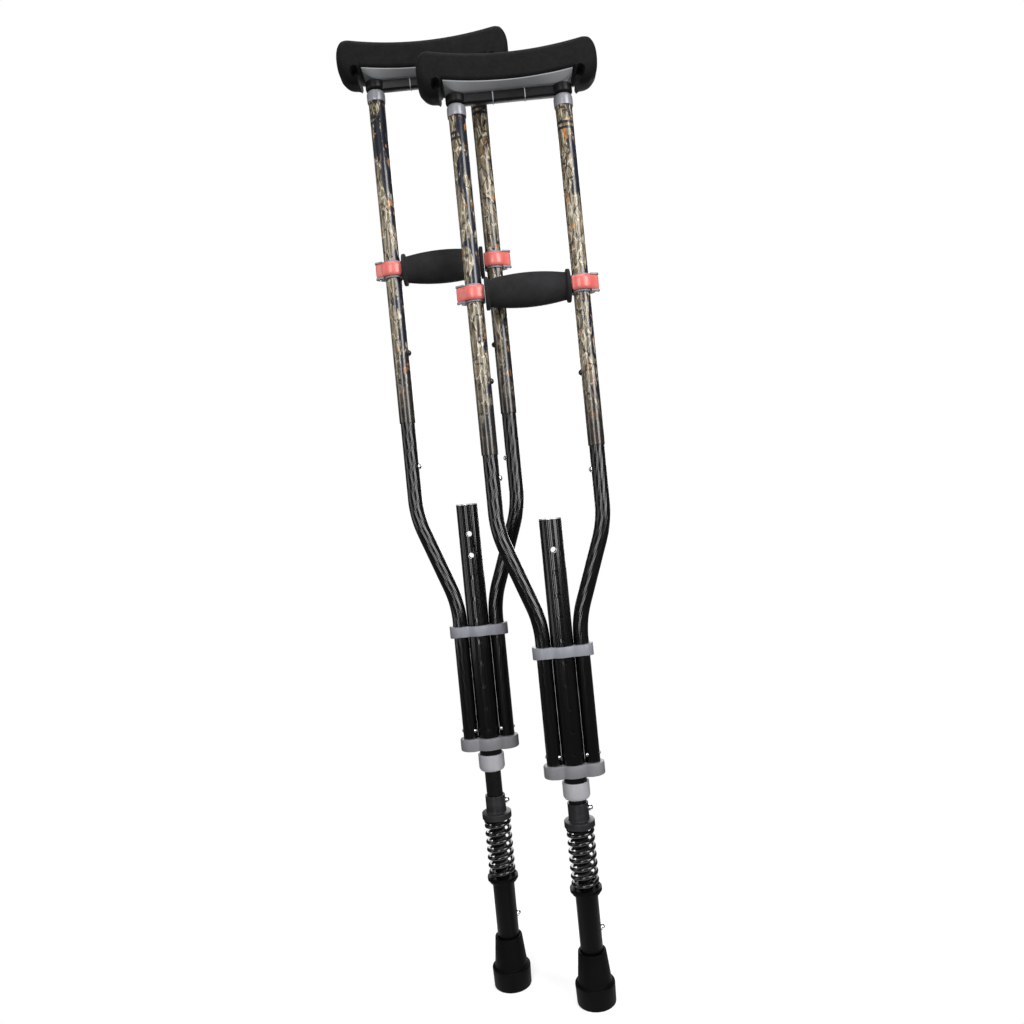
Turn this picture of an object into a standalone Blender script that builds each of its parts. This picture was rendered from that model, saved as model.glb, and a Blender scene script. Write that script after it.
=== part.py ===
"""A pair of underarm crutches, as one Blender 4.5 script: metres, +Z up.

Each crutch stands upright in an XZ plane with its tip on Z = 0, and is built by the same functions.
The second crutch stands beside and behind the first, set one hole taller at the leg and at the top.
"""
import math

import bmesh
import bpy
from mathutils import Matrix, Vector

# ---- driving dimensions, in metres ----
GAP = 0.0003                    # clearance left between neighbouring pieces
PITCH = 0.0254                  # spacing of the height holes

CRUTCHES = (                    # name, X, Y, holes the leg is drawn out, holes the top is raised
    ("right", 0.047, -0.025, 0, 0),
    ("left", -0.047, 0.025, 1, 1),
)
UPRIGHTS = (("front", 1), ("rear", -1))   # the two uprights of one crutch, at +X and -X

UPRIGHT_X = 0.060               # upright axis from the crutch's middle
TRIO_X = 0.0215                 # bow tube axis where it lies against the post
BOW_R = 0.0085
BOW_BORE_R = 0.0070
SLEEVE_R = 0.0095               # upper tube
SLEEVE_BORE_R = 0.0088
POST_R = 0.0127
POST_BORE_R = 0.0103
SHAFT_R = 0.0095
SHAFT_NECK_R = 0.0080           # where the spring surrounds it
SHAFT_BORE_R = 0.0060

TIP_TOP_Z = 0.058
LEG_FOOT_Z = 0.008
LEG_FLANGE_Z = 0.122
SEAT_LOW_Z = 0.129              # lower seat face of the spring
SEAT_HIGH_Z = 0.197             # upper seat face of the spring
SEAT_TOP_Z = 0.224
COLLAR_Z = (0.229, 0.248)
POST_Z = (0.2312, 0.543)
POST_HOLE_TOP_Z = 0.508
POST_HOLES = 10
POST_HOLE_R = 0.00325
BRACKET_Z = (0.254, 0.268)
BAND_Z = (0.3875, 0.4005)
SHAFT_Z = (0.050, 0.497)
BOW_FOOT_Z = 0.2545
BOW_BEND_Z = (0.427, 0.534)     # where the straight runs and the slanted run would meet
BOW_BEND_R = 0.120
BOW_TOP_Z = 0.840
BOW_HOLES = 5                   # height holes on each bow's inner side, under the sleeve
SLEEVE_Z = (0.6195, 1.005)
LOW_BUTTON_Z = 0.593
HIGH_BUTTON_Z = 0.702
LEG_BUTTON_Z = 0.082
SEAT_BUTTON_Z = 0.2165
GRIP_Z = 0.800
UPRIGHT_COLLAR_Z = (0.999, 1.012)
RAIL_Z = (0.9975, 1.013, 1.023)   # bottom of the stems, underside and top of the rail
TRAY_Z = (1.0233, 1.0308)
PAD_LENGTH_HALF = 0.1005
PAD_DEPTH_HALF = 0.023

SPRING_R = 0.0135               # coil's middle radius
SPRING_WIRE_R = 0.00225
SPRING_TURNS = 7

CLAMP_R = 0.0117                # outer radius of the clamp ring
CLAMP_HALF_HEIGHT = 0.010
HINGE_X = 0.0160                # lever's pin from the upright's axis, outwards along X
HINGE_Y = -0.0030
LEVER_HALF_HEIGHT = 0.0079

BUTTON_SHANK_R = 0.0030
BUTTON_HOLE_R = 0.0037
BUTTON_SIDES = 8
HOLE_SIDES = 6

ROUND = 16                      # sides of the large turned pieces
TUBE = 12                       # sides of the uprights

# ---- materials: base colour, metallic, roughness ----
FINISHES = {
    "pad_foam": ((0.018, 0.018, 0.019), 0.0, 0.85),
    "grip_foam": ((0.022, 0.022, 0.023), 0.0, 0.80),
    "black_tube": ((0.012, 0.012, 0.013), 0.7, 0.25),
    "camo_tube": ((0.30, 0.26, 0.20), 0.0, 0.25),
    "grey_plastic": ((0.30, 0.31, 0.34), 0.0, 0.45),
    "light_plastic": ((0.42, 0.41, 0.44), 0.0, 0.45),
    "tray_plastic": ((0.23, 0.25, 0.26), 0.0, 0.50),
    "dark_plastic": ((0.03, 0.03, 0.03), 0.0, 0.50),
    "silver_collar": ((0.45, 0.46, 0.50), 0.6, 0.35),
    "red_lever": ((0.72, 0.10, 0.08), 0.0, 0.30),
    "black_steel": ((0.012, 0.012, 0.012), 0.6, 0.30),
    "chrome": ((0.80, 0.80, 0.82), 1.0, 0.12),
    "tip_rubber": ((0.012, 0.012, 0.012), 0.0, 0.75),
}


def material(name):
    """The named finish as a Principled material, made once."""
    found = bpy.data.materials.get(name)
    if found:
        return found
    colour, metallic, roughness = FINISHES[name]
    made = bpy.data.materials.new(name)
    made.use_nodes = True
    shader = made.node_tree.nodes["Principled BSDF"]
    shader.inputs["Base Color"].default_value = (*colour, 1.0)
    shader.inputs["Metallic"].default_value = metallic
    shader.inputs["Roughness"].default_value = roughness
    return made


def piece(name, mesh_builder, finish, parent, location=(0, 0, 0)):
    """Makes one object from a filled bmesh, under its parent empty."""
    mesh = bpy.data.meshes.new(name)
    bmesh.ops.recalc_face_normals(mesh_builder, faces=mesh_builder.faces[:])
    mesh_builder.to_mesh(mesh)
    mesh_builder.free()
    mesh.shade_smooth()
    mesh.set_sharp_from_angle(angle=math.radians(35))
    mesh.materials.append(material(finish))
    made = bpy.data.objects.new(name, mesh)
    bpy.context.scene.collection.objects.link(made)
    made.parent = parent
    made.location = location
    return made


def empty(name, parent, location):
    """An empty that marks a joint's axis or a body's origin."""
    made = bpy.data.objects.new(name, None)
    bpy.context.scene.collection.objects.link(made)
    made.parent = parent
    made.location = location
    return made


def cutter(name, mesh_builder, parent, location=(0, 0, 0)):
    """A piece that only cuts others."""
    made = piece(name, mesh_builder, "dark_plastic", parent, location)
    made.hide_render = True
    made.display_type = "WIRE"
    return made


def cut(target, tool, operation="DIFFERENCE"):
    """Adds an exact Boolean to the target."""
    modifier = target.modifiers.new(tool.name, "BOOLEAN")
    modifier.operation = operation
    modifier.object = tool
    modifier.solver = "EXACT"


# ---- shapes ----
def skin(builder, rings, closed_loop):
    """Joins rings of equal length with quads; the ends are capped unless the rings close up."""
    verts = [[builder.verts.new(p) for p in ring] for ring in rings]
    count = len(verts)
    for i in range(count if closed_loop else count - 1):
        low, high = verts[i], verts[(i + 1) % count]
        sides = len(low)
        for k in range(sides):
            builder.faces.new((low[k], low[(k + 1) % sides], high[(k + 1) % sides], high[k]))
    if not closed_loop:
        builder.faces.new(verts[0][::-1])
        builder.faces.new(verts[-1])


def circle(radius, z, sides, first=0.0):
    """Points of a circle about Z; the first lies that many steps past +X."""
    points = []
    for k in range(sides):
        angle = math.tau * (k + first) / sides
        points.append(Vector((radius * math.cos(angle), radius * math.sin(angle), z)))
    return points


def turned(profile, sides=ROUND, hollow=True, first=0.0):
    """A solid of revolution about Z from (radius, z) points; hollow profiles are closed loops."""
    builder = bmesh.new()
    skin(builder, [circle(r, z, sides, first) for r, z in profile], hollow)
    return builder


def tube_profile(outer, inner, low, high):
    """Closed profile of a straight tube."""
    return [(outer, low), (outer, high), (inner, high), (inner, low)]


def lay_along_x(builder, sign=1):
    """Turns a shape made about Z so that its +Z end points along sign * X."""
    turn = Matrix.Rotation(sign * math.pi / 2, 3, "Y")
    bmesh.ops.rotate(builder, verts=builder.verts[:], cent=(0, 0, 0), matrix=turn)
    return builder


def prism(outline, low, high):
    """An outline in X and Y, extruded from low to high."""
    builder = bmesh.new()
    skin(builder, [[Vector((x, y, z)) for x, y in outline] for z in (low, high)], False)
    return builder


def ring_prism(outer, inner, low, high):
    """Two matching outlines with material between them, from low to high."""
    builder = bmesh.new()
    loops = ((outer, low), (outer, high), (inner, high), (inner, low))
    skin(builder, [[Vector((x, y, z)) for x, y in loop] for loop, z in loops], True)
    return builder


def arc(centre, radius, start, end, steps):
    """Points on an arc in the XY plane; angles in degrees, both ends included."""
    points = []
    for k in range(steps + 1):
        angle = math.radians(start + (end - start) * k / steps)
        points.append((centre[0] + radius * math.cos(angle), centre[1] + radius * math.sin(angle)))
    return points


def three_lobes(middle_r, side_r):
    """Outline around the post and the two bow tubes beside it."""
    crossing_x = (TRIO_X ** 2 + middle_r ** 2 - side_r ** 2) / (2 * TRIO_X)
    crossing_y = math.sqrt(middle_r ** 2 - crossing_x ** 2)
    middle = math.degrees(math.atan2(crossing_y, crossing_x))
    side = math.degrees(math.atan2(crossing_y, crossing_x - TRIO_X))
    points = arc((TRIO_X, 0), side_r, -side, side, 18)
    points += arc((0, 0), middle_r, middle, 180 - middle, 10)[1:-1]
    points += arc((-TRIO_X, 0), side_r, 180 - side, 180 + side, 18)
    points += arc((0, 0), middle_r, 180 + middle, 360 - middle, 10)[1:-1]
    return points


def stadium(half_length, half_width):
    """Rounded bar outline along X."""
    centre = half_length - half_width
    return arc((centre, 0), half_width, -90, 90, 6) + arc((-centre, 0), half_width, 90, 270, 6)


def bow_path(sign):
    """Middle line of one bow: (x, z, tilt of its axis from Z), through its two bends."""
    rise = BOW_BEND_Z[1] - BOW_BEND_Z[0]
    run = UPRIGHT_X - TRIO_X
    lean = math.atan2(run, rise)
    reach = BOW_BEND_R * math.tan(lean / 2)
    steps = 4
    stations = [(TRIO_X, BOW_FOOT_Z, 0.0)]
    for k in range(steps + 1):
        tilt = lean * k / steps
        stations.append((
            TRIO_X + BOW_BEND_R * (1 - math.cos(tilt)),
            BOW_BEND_Z[0] - reach + BOW_BEND_R * math.sin(tilt),
            tilt,
        ))
    for k in range(steps + 1):
        tilt = lean * (steps - k) / steps
        stations.append((
            UPRIGHT_X - BOW_BEND_R * (1 - math.cos(tilt)),
            BOW_BEND_Z[1] + reach - BOW_BEND_R * math.sin(tilt),
            tilt,
        ))
    stations.append((UPRIGHT_X, BOW_TOP_Z, 0.0))
    return [(sign * x, z, sign * tilt) for x, z, tilt in stations]


def bent_tube(path, outer, inner, sides):
    """A hollow tube along a path in the XZ plane."""
    def ring(station, radius):
        x, z, tilt = station
        turn = Matrix.Rotation(tilt, 3, "Y")
        return [turn @ p + Vector((x, 0, z)) for p in circle(radius, 0, sides)]

    builder = bmesh.new()
    rings = [ring(s, outer) for s in path] + [ring(s, inner) for s in reversed(path)]
    skin(builder, rings, True)
    return builder


def coil(radius, wire_r, low, high, turns, per_turn=10, sides=5):
    """A round-wire compression spring about Z."""
    builder = bmesh.new()
    count = turns * per_turn
    climb = (high - low - 2 * wire_r) / count
    rings = []
    for k in range(count + 1):
        turn = Matrix.Rotation(math.tau * k / per_turn, 3, "Z")
        centre = Vector((radius, 0, low + wire_r + climb * k))
        ring = []
        for s in range(sides):
            angle = math.tau * s / sides
            ring.append(turn @ (centre + wire_r * Vector((math.cos(angle), 0, math.sin(angle)))))
        rings.append(ring)
    skin(builder, rings, False)
    return builder


def button_body(inner_end, wall, crown):
    """A snap button along +Z: a straight shank through the wall and a domed crown."""
    return turned([
        (0.0024, inner_end),
        (BUTTON_SHANK_R, inner_end + 0.0006),
        (BUTTON_SHANK_R, wall + (crown - wall) * 0.45),
        (0.0023, wall + (crown - wall) * 0.80),
        (0.0010, crown),
    ], BUTTON_SIDES, hollow=False)


def button(name, parent, side, x, z, inner_end, wall, crown, finish):
    """A snap button pointing along side * X, placed on its tube's axis."""
    return piece(name, lay_along_x(button_body(inner_end, wall, crown), side), finish, parent, (x, 0, z))


def button_holes(name, parent, side, x, heights, reach):
    """Cutter for snap button holes at the given heights, from a tube's axis outwards."""
    builder = bmesh.new()
    for z in heights:
        rings = [circle(BUTTON_HOLE_R, out, HOLE_SIDES) for out in (0.0, reach)]
        turn = Matrix.Translation((0, 0, z)) @ Matrix.Rotation(side * math.pi / 2, 4, "Y")
        turn = turn @ Matrix.Rotation(math.pi / HOLE_SIDES, 4, "Z")
        skin(builder, [[turn @ p for p in ring] for ring in rings], False)
    return cutter(name, builder, parent, (x, 0, 0))


# ---- sub-parts ----
def rubber_tip(crutch, parent):
    """Ferrule with a wide flat sole, a shoulder lip and a blind socket for the leg."""
    bore = POST_R + GAP
    profile = [
        (0.0215, 0.0), (0.0220, 0.0012), (0.0225, 0.021), (0.0223, 0.023), (0.0190, 0.0235),
        (0.0158, TIP_TOP_Z - 0.0015), (0.0150, TIP_TOP_Z), (bore, TIP_TOP_Z), (bore, LEG_FOOT_Z - GAP),
    ]
    piece(f"{crutch}_rubber_tip", turned(profile, hollow=False), "tip_rubber", parent)


def lower_leg_tube(crutch, parent):
    """Outer leg tube with the stepped flange that carries the spring."""
    bore = SHAFT_NECK_R + GAP
    profile = [
        (POST_R, LEG_FOOT_Z), (POST_R, LEG_FLANGE_Z), (0.0162, LEG_FLANGE_Z), (0.0162, 0.1248),
        (0.0180, 0.1248), (0.0180, SEAT_LOW_Z), (bore, SEAT_LOW_Z), (bore, 0.117),
        (POST_BORE_R, 0.114), (POST_BORE_R, LEG_FOOT_Z),
    ]
    tube = piece(f"{crutch}_lower_leg_tube", turned(profile), "black_tube", parent)
    cut(tube, button_holes(f"{crutch}_leg_hole_cut", parent, 1, 0, (LEG_BUTTON_Z,), 0.020))


def leg_shaft(crutch, parent):
    """Inner tube: thin inside the spring and the leg tube, thicker inside the post."""
    step = SEAT_HIGH_Z + 0.003 + GAP
    profile = [
        (SHAFT_NECK_R, SHAFT_Z[0]), (SHAFT_NECK_R, step), (SHAFT_R, step), (SHAFT_R, SHAFT_Z[1]),
        (SHAFT_BORE_R, SHAFT_Z[1]), (SHAFT_BORE_R, SHAFT_Z[0]),
    ]
    shaft = piece(f"{crutch}_inner_leg_shaft", turned(profile), "black_tube", parent)
    cut(shaft, button_holes(f"{crutch}_shaft_hole_cut", parent, 1, 0, (SEAT_BUTTON_Z,), 0.020))


def upper_spring_seat(crutch, parent):
    """Plastic seat above the spring, a flange with a sleeve on the shaft."""
    ledge = SEAT_HIGH_Z + 0.003
    profile = [
        (0.0173, SEAT_HIGH_Z), (0.0173, 0.204), (0.0117, 0.204), (0.0117, SEAT_TOP_Z),
        (SHAFT_R + GAP, SEAT_TOP_Z), (SHAFT_R + GAP, ledge),
        (SHAFT_NECK_R + GAP, ledge), (SHAFT_NECK_R + GAP, SEAT_HIGH_Z),
    ]
    seat = piece(f"{crutch}_upper_spring_seat", turned(profile), "dark_plastic", parent)
    cut(seat, button_holes(f"{crutch}_seat_hole_cut", parent, 1, 0, (SEAT_BUTTON_Z,), 0.020))


def post_collar(crutch, parent):
    """Light collar closing the post's lower end around the shaft."""
    low, high = COLLAR_Z
    lip = POST_Z[0] - GAP
    profile = [
        (0.0133, low), (0.0152, low + 0.003), (0.0152, high), (POST_R + GAP, high),
        (POST_R + GAP, lip), (SHAFT_R + GAP, lip), (SHAFT_R + GAP, low),
    ]
    piece(f"{crutch}_post_collar", turned(profile), "light_plastic", parent)


def height_post(crutch, parent):
    """Central tube with its row of through holes along Y."""
    body = turned(tube_profile(POST_R, POST_BORE_R, *POST_Z))
    post = piece(f"{crutch}_height_post", body, "black_tube", parent)
    builder = bmesh.new()
    sides = 8
    for k in range(POST_HOLES):
        turn = Matrix.Rotation(math.pi / 2, 4, "X") @ Matrix.Rotation(math.pi / sides, 4, "Z")
        bmesh.ops.create_cone(
            builder, cap_ends=True, segments=sides, radius1=POST_HOLE_R, radius2=POST_HOLE_R, depth=0.04,
            matrix=Matrix.Translation((0, 0, POST_HOLE_TOP_Z - PITCH * k)) @ turn,
        )
    cut(post, cutter(f"{crutch}_post_hole_cut", builder, parent))


def clasp(crutch, name, middle_r, side_r, span, finish, parent):
    """A collar pressed around the post and both bows."""
    inner = three_lobes(POST_R + GAP, BOW_R + GAP)
    outer = three_lobes(middle_r, side_r)
    piece(f"{crutch}_{name}", ring_prism(outer, inner, *span), finish, parent)


def side_bow(crutch, upright, sign, parent):
    """Bent side tube, with holes on its inner side for the snap buttons."""
    body = bent_tube(bow_path(sign), BOW_R, BOW_BORE_R, TUBE)
    bow = piece(f"{crutch}_{upright}_side_bow", body, "black_tube", parent)
    heights = [LOW_BUTTON_Z] + [HIGH_BUTTON_Z + PITCH * k for k in range(BOW_HOLES)]
    name = f"{crutch}_{upright}_bow_hole_cut"
    cut(bow, button_holes(name, parent, -sign, sign * UPRIGHT_X, heights, 0.012))


def upper_tube(crutch, upright, sign, parent):
    """Patterned sleeve that slides on the bow."""
    tube = piece(
        f"{crutch}_{upright}_upper_tube",
        turned(tube_profile(SLEEVE_R, SLEEVE_BORE_R, *SLEEVE_Z), TUBE),
        "camo_tube", parent, (sign * UPRIGHT_X, 0, 0),
    )
    name = f"{crutch}_{upright}_sleeve_hole_cut"
    cut(tube, button_holes(name, parent, -sign, sign * UPRIGHT_X, (HIGH_BUTTON_Z,), 0.012))


def upright_collar(crutch, upright, sign, parent):
    """Silver cap where the upper tube meets the saddle's stem."""
    low, high = UPRIGHT_COLLAR_Z
    stem_bore = 0.0075 + GAP
    over = SLEEVE_Z[1] + GAP
    profile = [
        (0.0107, low), (0.0107, high - 0.002), (0.0092, high), (stem_bore, high),
        (stem_bore, over), (SLEEVE_R + GAP, over), (SLEEVE_R + GAP, low),
    ]
    centre = (sign * UPRIGHT_X, 0, 0)
    piece(f"{crutch}_{upright}_upright_collar", turned(profile, TUBE), "silver_collar", parent, centre)


def saddle_rail(crutch, parent):
    """Black rail joining two sockets, each with a stem that enters its upper tube."""
    bottom, under, top = RAIL_Z
    bar = prism(stadium(UPRIGHT_X, 0.007), under, top)
    rail = piece(f"{crutch}_saddle_rail", bar, "dark_plastic", parent)
    for upright, sign in UPRIGHTS:
        profile = [(0.0075, bottom), (0.0075, under), (0.0112, under), (0.0112, top)]
        body = turned(profile, TUBE, hollow=False)
        socket = cutter(f"{crutch}_{upright}_socket_add", body, parent, (sign * UPRIGHT_X, 0, 0))
        cut(rail, socket, "UNION")


def pad_saddle(crutch, parent):
    """Grey tray on the rail, which carries the pad."""
    piece(f"{crutch}_pad_saddle", prism(stadium(0.0725, 0.017), *TRAY_Z), "tray_plastic", parent)


def underarm_pad(crutch, parent):
    """Foam pad with a dished top and rounded ends that wrap under the tray."""
    half = [
        (0.0, 1.0580), (0.030, 1.0592), (0.060, 1.0635), (0.085, 1.0670), (0.0945, 1.0640),
        (0.0995, 1.0560), (PAD_LENGTH_HALF, 1.0450), (0.0995, 1.0290), (0.0950, 1.0195),
        (0.0880, 1.0172), (0.0800, 1.0185), (0.0755, 1.0265), (0.040, 1.0268),
    ]
    outline = half + [(-x, z) for x, z in reversed(half) if x > 0]
    sides = (-PAD_DEPTH_HALF, PAD_DEPTH_HALF)
    builder = bmesh.new()
    skin(builder, [[Vector((x, y, z)) for x, z in outline] for y in sides], False)
    pad = piece(f"{crutch}_underarm_pad", builder, "pad_foam", parent)
    rounding = pad.modifiers.new("rounding", "BEVEL")
    rounding.width = 0.006
    rounding.segments = 2
    rounding.limit_method = "ANGLE"
    rounding.angle_limit = math.radians(60)
    recess = prism(stadium(0.0725 + GAP, 0.017 + GAP), 1.010, TRAY_Z[1] + GAP)
    cut(pad, cutter(f"{crutch}_tray_recess_cut", recess, parent))


def hand_grip(crutch, parent):
    """Foam grip: a barrel between two round flanges, bored for the rod."""
    end, flange, flange_r, bore = 0.04795, 0.0045, 0.0185, 0.0063
    profile = [(bore, -end), (flange_r, -end), (flange_r, flange - end)]
    for x in (flange - end, -0.030, -0.015, 0.0, 0.015, 0.030, end - flange):
        swell = math.cos(0.5 * math.pi * x / (end - flange))
        profile.append((0.0150 + 0.0042 * swell, x))
    profile += [(flange_r, end - flange), (flange_r, end), (bore, end)]
    piece(f"{crutch}_hand_grip", lay_along_x(turned(profile)), "grip_foam", parent)


def grip_rod(crutch, parent):
    """Steel rod through the grip, between the clamps."""
    body = turned([(0.006, -0.048), (0.006, 0.048)], hollow=False)
    piece(f"{crutch}_grip_rod", lay_along_x(body), "black_steel", parent)


def grip_clamp(crutch, upright, sign, parent):
    """Ring on the upper tube, with two ears that hold the lever's pin."""
    centre = (sign * UPRIGHT_X, 0, 0)
    clamp = piece(
        f"{crutch}_{upright}_grip_clamp",
        turned(tube_profile(CLAMP_R, SLEEVE_R + GAP, -CLAMP_HALF_HEIGHT, CLAMP_HALF_HEIGHT)),
        "grey_plastic", parent, centre,
    )
    ear_r = 0.0040
    outline = [(0.0105, -0.0090)] + arc((HINGE_X, HINGE_Y), ear_r, -80, 60, 5) + [(0.0105, 0.0050)]
    outline = [(sign * x, y) for x, y in outline]
    ears = (("low", -CLAMP_HALF_HEIGHT, -0.0082), ("high", 0.0082, CLAMP_HALF_HEIGHT))
    for name, low, high in ears:
        ear = cutter(f"{crutch}_{upright}_ear_{name}_add", prism(outline, low, high), parent, centre)
        cut(clamp, ear, "UNION")


def clamp_lever(crutch, upright, sign, hinge):
    """Red cam lever that wraps the front of the clamp, modelled about its pin."""
    inner_r, outer_r, knuckle_r = 0.0121, 0.0150, 0.0036
    bend = arc((0, 0), inner_r, -48, -134, 6)
    back = arc((0, 0), outer_r, -134, -40, 6)
    knuckle = arc((HINGE_X, HINGE_Y), knuckle_r, -70, 130, 6)
    outline = [(sign * (x - HINGE_X), y - HINGE_Y) for x, y in bend + back + knuckle]
    body = prism(outline, -LEVER_HALF_HEIGHT, LEVER_HALF_HEIGHT)
    piece(f"{crutch}_{upright}_clamp_lever", body, "red_lever", hinge)


# ---- assembly ----
def build_crutch(crutch, x, y, leg_holes, top_holes):
    """All thirty pieces of one crutch, under empties for its sliding bodies and its lever pins."""
    base = empty(f"{crutch}_leg_slide", None, (x, y, 0))
    frame = empty(f"{crutch}_frame", base, (0, 0, leg_holes * PITCH))
    upper = empty(f"{crutch}_upper_slide", frame, (0, 0, top_holes * PITCH))
    grip = empty(f"{crutch}_grip_slide", upper, (0, 0, GRIP_Z))

    rubber_tip(crutch, base)
    lower_leg_tube(crutch, base)
    leg_shaft(crutch, base)
    upper_spring_seat(crutch, base)
    spring = coil(SPRING_R, SPRING_WIRE_R, SEAT_LOW_Z + GAP, SEAT_HIGH_Z - GAP, SPRING_TURNS)
    piece(f"{crutch}_shock_spring", spring, "black_steel", base)
    button(f"{crutch}_leg_button", base, 1, 0, LEG_BUTTON_Z, 0.0109, 0.0127, 0.0170, "chrome")
    button(f"{crutch}_seat_button", base, 1, 0, SEAT_BUTTON_Z, 0.0080, 0.0117, 0.0165, "chrome")

    height_post(crutch, frame)
    post_collar(crutch, frame)
    clasp(crutch, "bow_bracket", 0.0155, 0.0128, BRACKET_Z, "grey_plastic", frame)
    clasp(crutch, "bow_band", 0.0152, 0.0132, BAND_Z, "grey_plastic", frame)

    saddle_rail(crutch, upper)
    pad_saddle(crutch, upper)
    underarm_pad(crutch, upper)
    hand_grip(crutch, grip)
    grip_rod(crutch, grip)

    for upright, sign in UPRIGHTS:
        side_bow(crutch, upright, sign, frame)
        name = f"{crutch}_{upright}_lower_button"
        button(name, frame, -sign, sign * UPRIGHT_X, LOW_BUTTON_Z, 0.0055, BOW_R, 0.0115, "chrome")
        upper_tube(crutch, upright, sign, upper)
        upright_collar(crutch, upright, sign, upper)
        name = f"{crutch}_{upright}_upper_button"
        button(name, upper, -sign, sign * UPRIGHT_X, HIGH_BUTTON_Z, 0.0088, SLEEVE_R, 0.0125, "black_steel")
        grip_clamp(crutch, upright, sign, grip)
        hinge_at = (sign * (UPRIGHT_X + HINGE_X), HINGE_Y, 0)
        clamp_lever(crutch, upright, sign, empty(f"{crutch}_{upright}_lever_pin", grip, hinge_at))


def main():
    for old in list(bpy.data.objects):
        bpy.data.objects.remove(old)
    for crutch in CRUTCHES:
        build_crutch(*crutch)


main()
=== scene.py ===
"""Looks for a pair of underarm crutches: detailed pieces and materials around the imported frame."""
import math

import bmesh
import bpy
import numpy as np
from mathutils import Matrix, Vector


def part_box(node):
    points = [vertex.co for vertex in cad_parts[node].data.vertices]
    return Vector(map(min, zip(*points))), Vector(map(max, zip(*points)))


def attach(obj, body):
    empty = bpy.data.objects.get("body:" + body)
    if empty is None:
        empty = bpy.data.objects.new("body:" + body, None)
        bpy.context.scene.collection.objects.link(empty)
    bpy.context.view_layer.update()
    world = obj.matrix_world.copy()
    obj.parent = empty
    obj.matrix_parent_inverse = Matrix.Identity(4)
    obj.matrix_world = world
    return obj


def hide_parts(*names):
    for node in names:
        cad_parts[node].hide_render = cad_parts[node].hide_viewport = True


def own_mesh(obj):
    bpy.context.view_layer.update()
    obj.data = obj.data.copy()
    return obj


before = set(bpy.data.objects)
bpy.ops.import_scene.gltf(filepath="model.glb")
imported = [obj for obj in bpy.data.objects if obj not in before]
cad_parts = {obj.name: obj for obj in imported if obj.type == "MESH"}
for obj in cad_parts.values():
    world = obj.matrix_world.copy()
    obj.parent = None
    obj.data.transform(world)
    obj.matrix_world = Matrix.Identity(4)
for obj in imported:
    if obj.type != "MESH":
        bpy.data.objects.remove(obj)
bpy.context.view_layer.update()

# ---- sizes shared by both crutches, in metres; heights are above each crutch's own floor or frame ----
UPRIGHTS = (("front", 1), ("rear", -1))
UPRIGHT_X = 0.060
TRIO_X = 0.0215
BOW_R = 0.0085
POST_R = 0.0127
SLEEVE_R = 0.0095
SHAFT_R = 0.0095
NECK_R = 0.0080
GAP = 0.0003
PITCH = 0.0254
POST_FOOT_Z = 0.2312            # the post's lower end on a crutch set at its lowest hole
TRAY_LOW_Z = 1.0233             # the tray's underside on the same
GRIP_Z = 0.800
CLAMP_R = 0.0117
HINGE = (0.0160, -0.0030)       # a lever's pin, from its tube's axis, on the side away from the grip
BUTTON_HOLE_R = 0.0039
POST_HOLE_R = 0.00325
RIVET_Z = 0.277
FLOOR_R = 2.0
FLOOR_FADE = (0.10, 0.34)       # radii between which the floor turns clear
FLOOR_GLOW = 0.62
WORLD_LIGHT = 0.08              # the world's strength as a light; the camera sees it at 1
LIGHTS = (                      # name, place, target, width and height, watts
    ("key", (1.15, -1.25, 1.15), (0, 0, 0.62), (0.75, 1.6), 30),
    ("front", (-0.50, -1.7, 0.95), (0, 0, 0.6), (0.50, 1.6), 17),
    ("left_edge", (-1.5, -0.2, 0.9), (0, 0, 0.6), (0.50, 1.6), 5),
    ("back", (0.3, 1.9, 1.1), (0, 0, 0.6), (1.4, 1.6), 26),
    ("overhead", (0.0, -0.3, 2.4), (0, 0, 0), (1.2, 1.2), 16),
)
EYE = (-0.0416, -0.90, 0.554)   # the camera, from the near crutch's foot
EYE_ROLL = math.radians(5.57)
LENS, SENSOR = 28.25, 36.0      # millimetres
LEG_BUTTON_Z = 0.082
SEAT_BUTTON_Z = 0.2165
LOW_BUTTON_Z = 0.593
HIGH_BUTTON_Z = 0.702
SHARP_ANGLE = math.radians(40)
ON_AXIS = 0.0001                # stands for radius zero, so that a turned end has no doubled points


class Crutch:
    """Where one crutch stands, read from the CAD boxes, and its bodies' names."""

    def __init__(self, name):
        self.name = name
        sole_low, sole_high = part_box(f"{name}_rubber_tip")
        middle = (sole_low + sole_high) / 2
        self.base = Vector((middle.x, middle.y, 0))
        frame_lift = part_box(f"{name}_height_post")[0].z - POST_FOOT_Z
        top_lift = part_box(f"{name}_pad_saddle")[0].z - TRAY_LOW_Z
        self.frame = self.base + Vector((0, 0, frame_lift))
        self.top = self.base + Vector((0, 0, top_lift))
        self.grip = self.top + Vector((0, 0, GRIP_Z))

    def node(self, part):
        return f"{self.name}_{part}"


# ---- mesh helpers ----
def add_piece(crutch, part, mesh_data, material, body, origin, replaced=()):
    """Makes one piece from (points, faces), places it, and ties it to its CAD body."""
    points, faces = mesh_data
    mesh = bpy.data.meshes.new(crutch.node(part))
    mesh.from_pydata([tuple(p) for p in points], [], faces)
    mesh.transform(Matrix.Translation(origin))
    mesh.update()
    builder = bmesh.new()
    builder.from_mesh(mesh)
    bmesh.ops.recalc_face_normals(builder, faces=builder.faces[:])
    builder.to_mesh(mesh)
    builder.free()
    mesh.shade_smooth()
    mesh.set_sharp_from_angle(angle=SHARP_ANGLE)
    mesh.materials.append(material)
    made = bpy.data.objects.new(crutch.node(part), mesh)
    bpy.context.scene.collection.objects.link(made)
    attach(made, crutch.node(body))
    if replaced:
        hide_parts(*[crutch.node(n) for n in replaced])
    return made


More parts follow.
